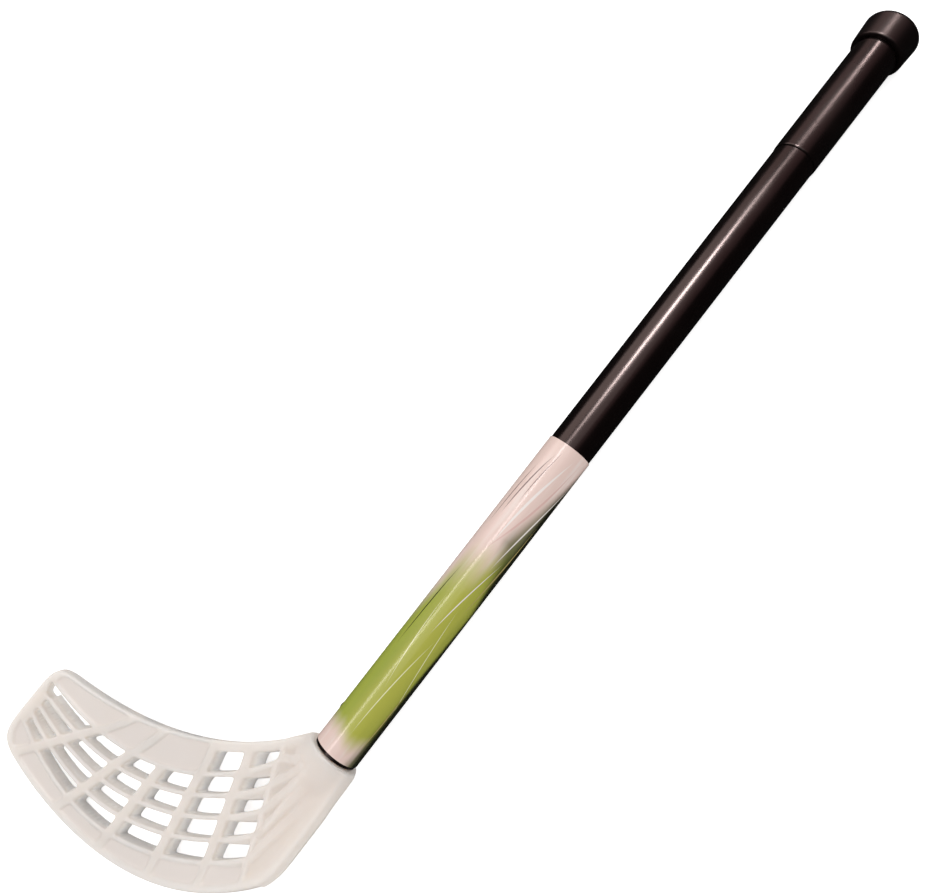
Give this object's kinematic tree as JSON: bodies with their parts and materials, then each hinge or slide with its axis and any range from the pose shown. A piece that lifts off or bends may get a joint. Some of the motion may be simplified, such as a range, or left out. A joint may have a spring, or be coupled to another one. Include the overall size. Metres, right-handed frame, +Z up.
{
  "type": "floorball stick",
  "caption": "Child's floorball stick with a straight tube shaft, a flared end knob and a curved lattice blade, lying on the floor.",
  "frame": {"origin": "under the centre of the bounding box, on the surface that the stick lies on", "axes": "+X along the shaft towards the end knob, +Y towards the side of the blade's toe, +Z up, out of the blade's hollow side"},
  "size_m": [0.7242, 0.211, 0.0365],
  "materials": {
    "blade_plastic": "milky, slightly translucent, satin",
    "tube_plastic": "glossy black",
    "print_film": "glossy print in greens and pale pink",
    "grip_plastic": "glossy black",
    "cap_plastic": "satin brown-black",
    "screw_steel": "plain zinc-plated steel"
  },
  "bodies": {
    "root": {"blade": "blade_plastic", "shaft_tube": "tube_plastic", "print_sleeve": "print_film", "grip_sleeve": "grip_plastic", "end_cap": "cap_plastic", "blade_screw": "screw_steel"}
  },
  "joints": []
}
